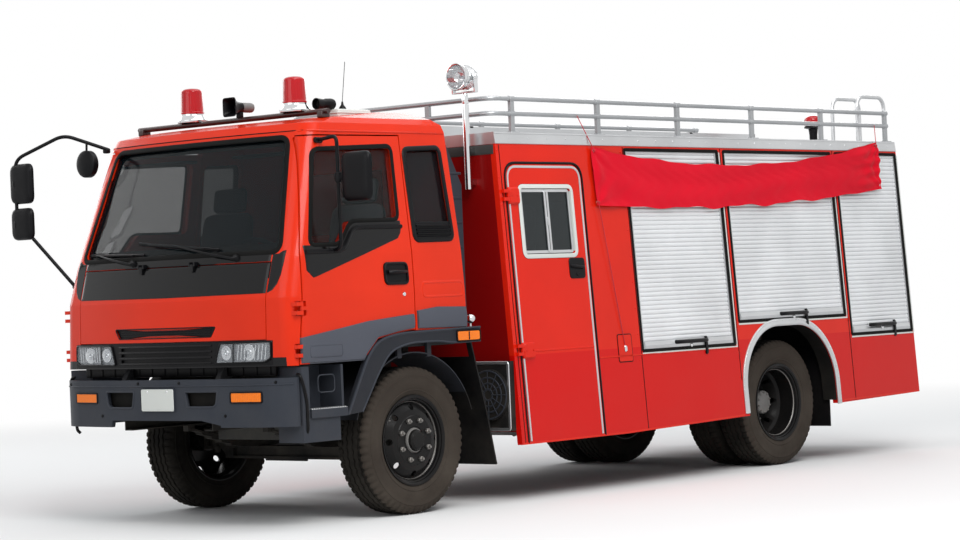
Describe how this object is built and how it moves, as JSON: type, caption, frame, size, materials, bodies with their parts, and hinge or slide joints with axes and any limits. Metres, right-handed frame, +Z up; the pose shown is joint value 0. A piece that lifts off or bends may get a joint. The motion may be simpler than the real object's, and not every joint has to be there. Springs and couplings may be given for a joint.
{
  "type": "fire engine",
  "caption": "Cab-over fire engine with tilting cab, crew cabin, shuttered equipment lockers, roof rails, ladders and a swivelling search lamp.",
  "frame": {"origin": "on the ground, halfway along and across the vehicle", "axes": "+X forwards, +Y to the vehicle's left, +Z up"},
  "size_m": [7.45, 2.92, 3.046],
  "materials": {
    "frame_paint": "satin black",
    "red_paint": "gloss vermilion",
    "dark_red": "gloss dark red",
    "charcoal_plastic": "matt charcoal",
    "black_trim": "matt black",
    "aluminium": "brushed",
    "glass": "clear, faintly green",
    "tyre_rubber": "dusty",
    "wheel_steel": "satin black",
    "lamp_clear": "clear lens over chrome",
    "lamp_amber": "amber lens",
    "red_lens": "red lens",
    "seat_cloth": "woven",
    "banner_cloth": "plain cloth",
    "chrome": "polished",
    "tank_paint": "satin"
  },
  "bodies": {
    "vehicle": {"chassis_frame": "frame_paint", "front_axle": "frame_paint", "rear_axle": "frame_paint", "powertrain": "tank_paint", "chassis_tanks": "tank_paint", "front_bumper": "charcoal_plastic", "cab_flares": "charcoal_plastic", "cab_steps": "charcoal_plastic", "road_lamps": "lamp_amber", "tow_jaw": "frame_paint", "rear_step": "aluminium", "mudflaps": "black_trim", "body_floor": "aluminium", "body_sides": "red_paint", "body_bulkheads": "dark_red", "body_roof": "aluminium", "roller_shutters": "aluminium", "arch_trims": "aluminium", "water_tank": "tank_paint", "crew_seat": "seat_cloth", "roof_rails": "aluminium", "rear_ladder": "aluminium", "roof_ladder": "aluminium", "lamp_pole": "aluminium", "siren_box": "aluminium", "banner": "banner_cloth"},
    "cab": {"cab_floor": "black_trim", "cab_front": "red_paint", "cab_sides": "red_paint", "cab_back": "red_paint", "cab_roof": "red_paint", "cab_glass": "glass", "grille": "black_trim", "headlamps": "lamp_clear", "dashboard": "charcoal_plastic", "cab_seats": "seat_cloth", "roof_bar": "red_lens", "air_intake": "charcoal_plastic", "mirror_right": "black_trim"},
    "service_lid": {"front_lid": "red_paint"},
    "left_cab_door": {"cab_door_left": "red_paint", "door_glass_left": "glass", "mirror_left": "black_trim"},
    "right_cab_door": {"cab_door_right": "red_paint", "door_glass_right": "glass"},
    "left_crew_door": {"crew_door_left": "red_paint", "crew_glass_left": "glass"},
    "right_crew_door": {"crew_door_right": "red_paint", "crew_glass_right": "glass"},
    "left_knuckle": {"knuckle_left": "frame_paint"},
    "right_knuckle": {"knuckle_right": "frame_paint"},
    "left_front_wheel": {"front_rim_left": "wheel_steel", "front_tyre_left": "tyre_rubber"},
    "right_front_wheel": {"front_rim_right": "wheel_steel", "front_tyre_right": "tyre_rubber"},
    "left_rear_wheels": {"rear_rims_left": "wheel_steel", "rear_tyres_left": "tyre_rubber"},
    "right_rear_wheels": {"rear_rims_right": "wheel_steel", "rear_tyres_right": "tyre_rubber"},
    "lamp_head": {"search_lamp": "chrome"}
  },
  "joints": [
    {"name": "steer_left", "type": "hinge", "parent": "vehicle", "child": "left_knuckle", "pos_m": [2.425, 0.85, 0.49], "axis": [0, 0, 1], "range_deg": [-35, 35]},
    {"name": "steer_right", "type": "hinge", "parent": "vehicle", "child": "right_knuckle", "pos_m": [2.425, -0.85, 0.49], "axis": [0, 0, 1], "range_deg": [-35, 35]},
    {"name": "spin_front_left", "type": "hinge", "parent": "left_knuckle", "child": "left_front_wheel", "pos_m": [2.425, 0.945, 0.49], "axis": [0, 1, 0], "continuous": true},
    {"name": "spin_front_right", "type": "hinge", "parent": "right_knuckle", "child": "right_front_wheel", "pos_m": [2.425, -0.945, 0.49], "axis": [0, 1, 0], "continuous": true},
    {"name": "spin_rear_left", "type": "hinge", "parent": "vehicle", "child": "left_rear_wheels", "pos_m": [-1.805, 0.77, 0.49], "axis": [0, 1, 0], "continuous": true},
    {"name": "spin_rear_right", "type": "hinge", "parent": "vehicle", "child": "right_rear_wheels", "pos_m": [-1.805, -0.77, 0.49], "axis": [0, 1, 0], "continuous": true},
    {"name": "cab_tilt", "type": "hinge", "parent": "vehicle", "child": "cab", "pos_m": [3.6, 0, 0.9], "axis": [0, 1, 0], "range_deg": [0, 45]},
    {"name": "lid_lift", "type": "hinge", "parent": "cab", "child": "service_lid", "pos_m": [3.59996, 0, 1.706], "axis": [0, -1, 0], "range_deg": [0, 75]},
    {"name": "open_left_cab_door", "type": "hinge", "parent": "cab", "child": "left_cab_door", "pos_m": [3.48, 1.126, 1.265], "axis": [0, 0, -1], "range_deg": [0, 70]},
    {"name": "open_right_cab_door", "type": "hinge", "parent": "cab", "child": "right_cab_door", "pos_m": [3.48, -1.126, 1.265], "axis": [0, 0, 1], "range_deg": [0, 70]},
    {"name": "open_left_crew_door", "type": "hinge", "parent": "vehicle", "child": "left_crew_door", "pos_m": [1.404, 1.13483, 1.6], "axis": [0, 0.0669, -0.9978], "range_deg": [0, 90]},
    {"name": "open_right_crew_door", "type": "hinge", "parent": "vehicle", "child": "right_crew_door", "pos_m": [1.404, -1.13483, 1.6], "axis": [0, 0.0669, 0.9978], "range_deg": [0, 90]},
    {"name": "lamp_swivel", "type": "hinge", "parent": "vehicle", "child": "lamp_head", "pos_m": [1.54, 0.86, 2.8], "axis": [0, 0, 1], "range_deg": [-170, 170]}
  ],
  "couplings": [
    {"joint": "steer_right", "follows": "steer_left", "ratio": 1}
  ]
}
